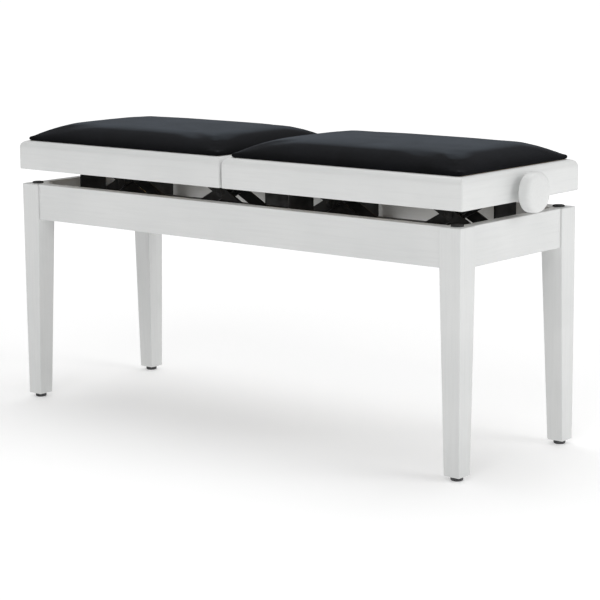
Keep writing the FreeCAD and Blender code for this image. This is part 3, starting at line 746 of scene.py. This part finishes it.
def buildScissor(name, place):
    # one arm hangs from the fixed pivot to the nut, the other stands from the sliding shoes to the block
    key, ending = name + "_" + place, "-%s-%s" % (name, place)
    main = joints["lift_" + name] if place == "outer" else joints["nut_arm_pivot_" + key]
    fixed = Vector(main["pos_m"])
    nut = Vector(joints["nut_pivot_" + key]["pos_m"])
    foot = Vector((nut.x, 0, fixed.z))
    hanger = Vector((fixed.x, 0, nut.z))
    crossing = (fixed + nut) / 2
    outerY, innerY, half = strapShape["outerY"], strapShape["innerY"], strapShape["sheet"] / 2

    arms = bmesh.new()
    strapPair(arms, fixed, nut, outerY)
    finishPiece("nut-arm" + ending, arms, blackSteel, "nut_arm_" + key, ["nut_arm_" + key],
                0.6 * mm, 2)
    pins = bmesh.new()
    pinWithHeads(pins, crossing, outerY + half + strapShape["pinPast"], [outerY + half])
    finishPiece("crossing-pin" + ending, pins, blackSteel, "nut_arm_" + key, [], angle=40)

    arms = bmesh.new()
    strapPair(arms, foot, hanger, innerY)
    finishPiece("shoe-arm" + ending, arms, blackSteel, "shoe_arm_" + key, ["shoe_arm_" + key],
                0.6 * mm, 2)
    axle = bmesh.new()
    pinWithHeads(axle, foot, strapShape["axleReach"])
    finishPiece("shoe-axle" + ending, axle, blackSteel, "shoe_arm_" + key, [], angle=40)

    shoes = bmesh.new()
    low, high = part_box("shoes_" + key)
    radius, width, ease = (high.z - low.z) / 2, shoeShape["width"], shoeShape["ease"]
    profile = [(0, 0), (0, radius - 2 * mm), (ease / 2, radius - ease / 2), (ease, radius),
               (width - ease, radius), (width - ease / 2, radius - ease / 2), (width, radius - 2 * mm), (width, 0)]
    for sign in (-1, 1):
        start = foot + Vector((0, sign * shoeShape["inner"], 0))
        addTurned(shoes, profile, start, (0, sign, 0), segments=48)
    finishPiece("shoes" + ending, shoes, nylon, "shoe_arm_" + key, ["shoes_" + key], angle=40)

    block = bmesh.new()
    low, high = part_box("spindle_nut_" + key)
    addBox(block, (low.x, -blockShape["half"], low.z), (high.x, blockShape["half"], high.z))
    finishPiece("nut-block" + ending, block, brassMetal, "nut_" + key, ["spindle_nut_" + key],
                blockShape["ease"])
    trunnion = bmesh.new()
    pinWithHeads(trunnion, nut, high.y)
    finishPiece("nut-pins" + ending, trunnion, brassMetal, "nut_" + key, [], angle=40)


def buildEndBlocks(name):
    # the spindle's bearings, and the pins from which the sliding arms hang
    low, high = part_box("end_blocks_" + name)
    blocks, pins = bmesh.new(), bmesh.new()
    half, length = blockShape["half"], blockShape["endLength"]
    spindleZ = joints["knob_turn_" + name]["pos_m"][2]
    for start in (low.x, high.x - length):
        addBox(blocks, (start, -half, low.z), (start + length, half, high.z))
        pinWithHeads(pins, (start + length / 2, 0, spindleZ), high.y)
    finishPiece("end-blocks-" + name, blocks, blackSteel, "seat_" + name, ["end_blocks_" + name],
                blockShape["ease"])
    finishPiece("end-block-pins-" + name, pins, zincSteel, "seat_" + name, [], angle=40)


spindleShape = dict(radius=6 * mm, thread=0.75 * mm, pitch=6 * mm, ringsPerPitch=6, threadFrom=8 * mm,
                    threadTo=170 * mm, endEase=0.8 * mm)
shoulderShape = dict(radius=11 * mm, width=6 * mm, ease=0.6 * mm, gap=0.3 * mm, apart=34.6 * mm)


def buildSpindle(name):
    # left-hand thread on one half and right-hand on the other
    side = sides[name]
    low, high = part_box("spindle_" + name)
    middle = Vector(joints["knob_turn_" + name]["pos_m"])
    blockLow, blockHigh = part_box("end_blocks_" + name)
    shape = spindleShape
    around, step = 24, shape["pitch"] / shape["ringsPerPitch"]
    bm = bmesh.new()
    previous = None
    count = int((high.x - low.x) / step)
    for i in range(count + 1):
        x = low.x + (high.x - low.x) * i / count
        offset = abs(x - middle.x)
        depth = shape["thread"] if shape["threadFrom"] < offset < shape["threadTo"] else 0.0
        hand = 1 if x > middle.x else -1
        ring = []
        for j in range(around):
            turn = 2 * math.pi * j / around
            phase = (hand * turn / (2 * math.pi) + offset / shape["pitch"]) % 1
            ridge = 1 - abs(2 * phase - 1)
            radius = shape["radius"] - depth * (1 - min(1, 1.6 * ridge))
            if i in (0, count):
                radius -= shape["endEase"]
            y, z = middle.y + radius * math.cos(turn), middle.z + radius * math.sin(turn)
            ring.append(bm.verts.new((x, y, z)))
        if previous:
            bridge(bm, previous, ring)
        else:
            bm.faces.new(ring)
        previous = ring
    bm.faces.new(previous)
    # a shoulder on each side of the block at the knob's end
    radius, width, ease = (shoulderShape[key] for key in ("radius", "width", "ease"))
    shoulder = [(0, 0), (0, radius - ease), (ease, radius), (width - ease, radius),
                (width, radius - ease), (width, 0)]
    gap = shoulderShape["gap"]
    outer = blockHigh.x + gap if side > 0 else blockLow.x - gap - width
    for x in (outer, outer - side * shoulderShape["apart"]):
        addTurned(bm, shoulder, (x, middle.y, middle.z), "x", segments=40)
    finishPiece("spindle-" + name, bm, zincSteel, "spindle_" + name, ["spindle_" + name], angle=50)


for sideName in sides:
    for scissorPlace in ("outer", "inner"):
        buildScissor(sideName, scissorPlace)
    buildEndBlocks(sideName)
    buildSpindle(sideName)
print("scissors, nuts and spindles built")


# ---- seat boards and the steel plates under them

boardShape = dict(plyScale=153.0, ease=1.0 * mm, plateCorner=8 * mm)


def plywoodMaterial():
    material, shader = startMaterial("birchPlywood", 0.6)
    along = places(material, (7, 190, 190))
    even = places(material)
    pores = noiseAt(material, along, 1, detail=5, roughness=0.6, distortion=0.4)
    cloudy = noiseAt(material, even, 8, detail=3)
    face = ramp(material, pores, [(0.3, (0.50, 0.36, 0.21)), (0.7, (0.66, 0.51, 0.33))])
    tint = ramp(material, cloudy, [(0.3, 0.88), (0.7, 1.0)])
    link(material, blendColours(material, "MULTIPLY", 0.7, face, tint), shader.inputs["Base Color"])
    layers = addNode(material, "ShaderNodeTexWave", Scale=boardShape["plyScale"], Distortion=0.4)
    layers.bands_direction = "Z"
    link(material, even, layers.inputs["Vector"])
    bumpFrom(material, shader, [(pores, 0.25, 0.0003), (layers.outputs["Fac"], 0.1, 0.0002)])
    return material


birchPlywood = plywoodMaterial()


def buildSeatBoard(name):
    body = "seat_" + name
    low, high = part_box("seat_board_" + name)
    bm = bmesh.new()
    addBox(bm, low, high)
    finishPiece("seat-board-" + name, bm, birchPlywood, body, ["seat_board_" + name],
                boardShape["ease"], 2)
    low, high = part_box("lift_plate_" + name)
    bm = bmesh.new()
    corner = boardShape["plateCorner"]
    outline = []
    for x, y, start in ((high.x - corner, high.y - corner, 0), (low.x + corner, high.y - corner, 90),
                        (low.x + corner, low.y + corner, 180), (high.x - corner, low.y + corner, 270)):
        outline += arc((x, y), corner, start, start + 90, 6)
    addPrism(bm, outline, "z", low.z, high.z)
    finishPiece("lift-plate-" + name, bm, blackSteel, body, ["lift_plate_" + name], 0.4 * mm, 2)
    screwLow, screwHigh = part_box("plate_screws_" + name)
    bm = bmesh.new()
    radius = screwShape["radius"]
    middleX = (screwLow.x + screwHigh.x) / 2
    for x in (screwLow.x + radius, middleX, screwHigh.x - radius):
        for y in (screwLow.y + radius, screwHigh.y - radius):
            screwHead(bm, (x, y, low.z), (0, 0, -1), radius, screwShape["rise"])
    finishPiece("plate-screws-" + name, bm, zincSteel, body, ["plate_screws_" + name], angle=40)


for sideName in sides:
    buildSeatBoard(sideName)
print("seat boards and plates built")


# ---- velour cushions

cushionShape = dict(lip=8 * mm, slope=88 * mm, bulge=3.4, plateau=20 * mm, crown=3.5 * mm, corner=5 * mm,
                    voxel=5 * mm, spill=3 * mm, countX=60, countY=40)
clothRun = dict(held=3 * mm, quality=6, pressure=4.0, tension=12, bending=0.6, frames=20, cap=1.2 * mm, calm=14)
creaseShape = dict(above=0.12, reach=0.045, pullScale=55, pullSeed=3.1, pull=0.5 * mm,
                   swellScale=14, swell=0.3 * mm)


def velourMaterial():
    material, shader = startMaterial("blackVelour", 0.95)
    even = places(material)
    pile = noiseAt(material, even, 2600, detail=3, roughness=0.7)
    tufts = noiseAt(material, even, 420, detail=4, roughness=0.6)
    nap = noiseAt(material, even, 11, detail=3, distortion=1.2)
    dark = ramp(material, nap, [(0.35, (0.0022, 0.0023, 0.0027)), (0.65, (0.0040, 0.0043, 0.0055))])
    # painted sheen: cloth facing upward gets a paler colour in place of the light the pile catches on top
    facing = addNode(material, "ShaderNodeNewGeometry")
    split = addNode(material, "ShaderNodeSeparateXYZ")
    link(material, facing.outputs["Normal"], split.inputs["Vector"])
    flat = ramp(material, split.outputs["Z"], [(0.955, 0.0), (0.999, 1.0)])
    paintedTopSheen = ramp(material, nap, [(0.35, (0.031, 0.038, 0.045)), (0.65, (0.042, 0.051, 0.061))])
    base = blendColours(material, "MIX", flat, dark, paintedTopSheen)
    fleck = ramp(material, pile, [(0.3, 0.55), (0.7, 1.25)])
    link(material, blendColours(material, "MULTIPLY", 0.8, base, fleck), shader.inputs["Base Color"])
    link(material, ramp(material, tufts, [(0.3, 0.86), (0.7, 0.98)]), shader.inputs["Roughness"])
    shader.inputs["Sheen Weight"].default_value = 0.13
    shader.inputs["Sheen Roughness"].default_value = 0.32
    shader.inputs["Sheen Tint"].default_value = (0.74, 0.79, 0.92, 1)
    shader.inputs["Specular IOR Level"].default_value = 0.10
    bumpFrom(material, shader, [(nap, 0.10, 0.002), (tufts, 0.30, 0.0006), (pile, 0.35, 0.0003)])
    return material


blackVelour = velourMaterial()


def cushionHeight(fromEndX, fromEndY, middleX, middleY):
    # distances in from the two nearest edges, and places from -1 to 1 along both ways
    shape = cushionShape

    def climb(distance):
        part = min(max(distance / shape["slope"], 0), 1)
        return 1 - (1 - part) ** shape["bulge"]

    height = shape["lip"] + shape["plateau"] * climb(fromEndX) * climb(fromEndY)
    return height + shape["crown"] * (1 - middleX ** 2) * (1 - middleY ** 2)


def cushionStart(name):
    low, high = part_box("cushion_" + name)
    shape = cushionShape
    middle = (low + high) / 2
    half = (high - low) / 2 + Vector((shape["spill"], shape["spill"], 0))
    countX, countY = shape["countX"], shape["countY"]
    bm = bmesh.new()

    def plan(u, v):
        # a rectangle with round corners
        x, y = u * half.x, v * half.y
        corner = shape["corner"]
        overX, overY = abs(x) - (half.x - corner), abs(y) - (half.y - corner)
        if overX > 0 and overY > 0:
            reach = math.hypot(overX, overY)
            largest = max(overX, overY)
            x = math.copysign(half.x - corner + overX * largest / reach, x)
            y = math.copysign(half.y - corner + overY * largest / reach, y)
        return x, y

    top, bottom = {}, {}
    for i in range(countX + 1):
        for j in range(countY + 1):
            u, v = 2 * i / countX - 1, 2 * j / countY - 1
            x, y = plan(u, v)
            height = cushionHeight(half.x - abs(x), half.y - abs(y), u, v)
            top[i, j] = bm.verts.new((middle.x + x, middle.y + y, low.z + height))
            bottom[i, j] = bm.verts.new((middle.x + x, middle.y + y, low.z))
    for i in range(countX):
        for j in range(countY):
            bm.faces.new([top[i, j], top[i + 1, j], top[i + 1, j + 1], top[i, j + 1]])
            bm.faces.new([bottom[i, j], bottom[i, j + 1], bottom[i + 1, j + 1], bottom[i + 1, j]])
    border = [(i, 0) for i in range(countX)] + [(countX, j) for j in range(countY)]
    border += [(i, countY) for i in range(countX, 0, -1)] + [(0, j) for j in range(countY, 0, -1)]
    for here, ahead in zip(border, border[1:] + border[:1]):
        bm.faces.new([bottom[here], bottom[ahead], top[ahead], top[here]])
    bmesh.ops.recalc_face_normals(bm, faces=bm.faces)
    return addObject("cushion-" + name, meshFrom("cushion-" + name, bm))


def applyModifiers(piece):
    evaluated = piece.evaluated_get(bpy.context.evaluated_depsgraph_get())
    mesh = bpy.data.meshes.new_from_object(evaluated)
    piece.modifiers.clear()
    piece.data = mesh
    mesh.name = piece.name


def inflate(cushion, low):
    # the cloth swells over its foam, held where it is tucked in along the lower edge
    remesh = cushion.modifiers.new("evenMesh", "REMESH")
    remesh.mode = "VOXEL"
    remesh.voxel_size = cushionShape["voxel"]
    applyModifiers(cushion)
    start = [vert.co.copy() for vert in cushion.data.vertices]
    held = cushion.vertex_groups.new(name="held")
    held.add([i for i, place in enumerate(start) if place.z < low.z + clothRun["held"]], 1.0, "REPLACE")
    cloth = cushion.modifiers.new("cloth", "CLOTH")
    settings = cloth.settings
    settings.quality = clothRun["quality"]
    settings.use_pressure = True
    settings.uniform_pressure_force = clothRun["pressure"]
    settings.effector_weights.gravity = 0
    settings.vertex_group_mass = "held"
    settings.tension_stiffness = clothRun["tension"]
    settings.bending_stiffness = clothRun["bending"]
    cloth.point_cache.frame_end = clothRun["frames"]
    scene = bpy.context.scene
    for frameNumber in range(1, clothRun["frames"] + 1):
        scene.frame_set(frameNumber)
    applyModifiers(cushion)
    cushion.vertex_groups.clear()
    for vert, origin in zip(cushion.data.vertices, start):
        moved = vert.co - origin
        if moved.length > clothRun["cap"]:
            moved = moved.normalized() * clothRun["cap"]
        vert.co = origin + moved
    scene.frame_set(1)
    upper = cushion.vertex_groups.new(name="upper")
    upper.add([i for i, place in enumerate(start) if place.z > low.z + cushionShape["lip"]], 1.0, "REPLACE")
    calm = cushion.modifiers.new("calm", "SMOOTH")
    calm.factor, calm.iterations, calm.vertex_group = 0.5, clothRun["calm"], "upper"
    applyModifiers(cushion)
    cushion.vertex_groups.clear()


def softCreases(cushion, low, high):
    # small pulls in the cloth that run in from the corners, and a faint unevenness on top
    shape = creaseShape
    middle, half = (low + high) / 2, (high - low) / 2
    for vert in cushion.data.vertices:
        place = vert.co
        rise = (place.z - low.z) / (high.z - low.z)
        if rise < shape["above"]:
            continue
        inX, inY = abs(place.x - middle.x) - half.x, abs(place.y - middle.y) - half.y
        nearCorner = math.exp(-((inX ** 2 + inY ** 2) / (shape["reach"] ** 2)))
        spot = Vector((inX * shape["pullScale"], inY * shape["pullScale"], shape["pullSeed"]))
        pull = noise.noise(spot) * shape["pull"] * nearCorner
        swell = noise.noise(place * shape["swellScale"]) * shape["swell"]
        vert.co.z += pull + swell


def buildCushions():
    first = cushionStart("right")
    low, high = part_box("cushion_right")
    inflate(first, low)
    softCreases(first, low, high)
    smoother = first.modifiers.new("finer", "SUBSURF")
    smoother.levels = smoother.render_levels = 1
    applyModifiers(first)
    for name in sides:
        cushion = first
        if name == "left":
            # the same cushion turned end for end
            cushion = addObject("cushion-left", first.data.copy())
            cushion.data.name = "cushion-left"
            for vert in cushion.data.vertices:
                vert.co.x, vert.co.y = -vert.co.x, -vert.co.y
        cushion.data.materials.clear()
        cushion.data.materials.append(blackVelour)
        cushion.data.shade_smooth()
        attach(cushion, "seat_" + name)
        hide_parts("cushion_" + name)


buildCushions()
print("cushions built")


# ---- floor, light and camera

stageLook = dict(floor=(0.92, 0.92, 0.92), floorRadius=60, glowFrom=0.7, glowTo=3.5, nearPaintedGlow=0.27, farPaintedGlow=0.62,
                 world=(1.0, 1.0, 1.0), worldStrength=0.45)
lampLook = [
    dict(name="keySoftbox", place=(1.6, -3.4, 3.4), aim=(0, 0, 0.3), size=2.6, power=36),
    dict(name="sideSoftbox", place=(3.6, 0.9, 2.2), aim=(0, 0, 0.3), size=2.2, power=32),
    dict(name="topSoftbox", place=(-0.6, 0.8, 3.8), aim=(0, 0, 0.4), size=3.2, power=45),
]
# turned, tipped and rolled in degrees
cameraLook = dict(place=(2.2075, -2.5822, 0.8306), yaw=40.09, pitch=10.35, roll=-0.53, lens=119.36)


def buildFloor():
    material, shader = startMaterial("paleFloor", 0.55)
    shader.inputs["Base Color"].default_value = (*stageLook["floor"], 1)
    shader.inputs["Emission Color"].default_value = (1, 1, 1, 1)
    # painted light: the floor glows of itself, weaker near the bench and stronger away from it, which paints a
    # darker patch of shade round the bench
    distance = addNode(material, "ShaderNodeVectorMath")
    distance.operation = "LENGTH"
    link(material, places(material), distance.inputs[0])
    spread = addNode(material, "ShaderNodeMapRange")
    spread.interpolation_type = "SMOOTHSTEP"
    link(material, distance.outputs["Value"], spread.inputs["Value"])
    for socket, key in (("From Min", "glowFrom"), ("From Max", "glowTo"),
                        ("To Min", "nearPaintedGlow"), ("To Max", "farPaintedGlow")):
        spread.inputs[socket].default_value = stageLook[key]
    link(material, spread.outputs["Result"], shader.inputs["Emission Strength"])
    bm = bmesh.new()
    ring = arc((0, 0), stageLook["floorRadius"], 0, 355, 71)
    bm.faces.new(addLoop(bm, [(x, y, 0) for x, y in ring]))
    mesh = meshFrom("floor", bm)
    mesh.materials.append(material)
    addObject("floor", mesh)


def buildLights():
    world = bpy.data.worlds.new("paleRoom")
    world.use_nodes = True
    background = world.node_tree.nodes["Background"]
    background.inputs["Color"].default_value = (*stageLook["world"], 1)
    background.inputs["Strength"].default_value = stageLook["worldStrength"]
    bpy.context.scene.world = world
    bpy.context.scene.view_settings.view_transform = "Standard"
    for look in lampLook:
        lamp = bpy.data.lights.new(look["name"], "AREA")
        lamp.shape = "DISK"
        lamp.size = look["size"]
        lamp.energy = look["power"]
        holder = addObject(look["name"], lamp)
        holder.location = look["place"]
        beam = Vector(look["aim"]) - Vector(look["place"])
        holder.rotation_euler = beam.to_track_quat("-Z", "Y").to_euler()


def buildCamera():
    yaw, pitch, roll = (math.radians(cameraLook[name]) for name in ("yaw", "pitch", "roll"))
    forward = Vector((-math.sin(yaw) * math.cos(pitch), math.cos(yaw) * math.cos(pitch), -math.sin(pitch)))
    level = Vector((math.cos(yaw), math.sin(yaw), 0))
    upright = level.cross(forward)
    right = math.cos(roll) * level + math.sin(roll) * upright
    up = -math.sin(roll) * level + math.cos(roll) * upright
    camera = bpy.data.cameras.new("camera")
    camera.lens = cameraLook["lens"]
    camera.sensor_width = 36
    camera.clip_end = 200
    holder = addObject("camera", camera)
    facing = Matrix((right, up, -forward)).transposed().to_4x4()
    holder.matrix_world = Matrix.Translation(cameraLook["place"]) @ facing
    bpy.context.scene.camera = holder


buildFloor()
buildLights()
buildCamera()
print("floor, light and camera placed")
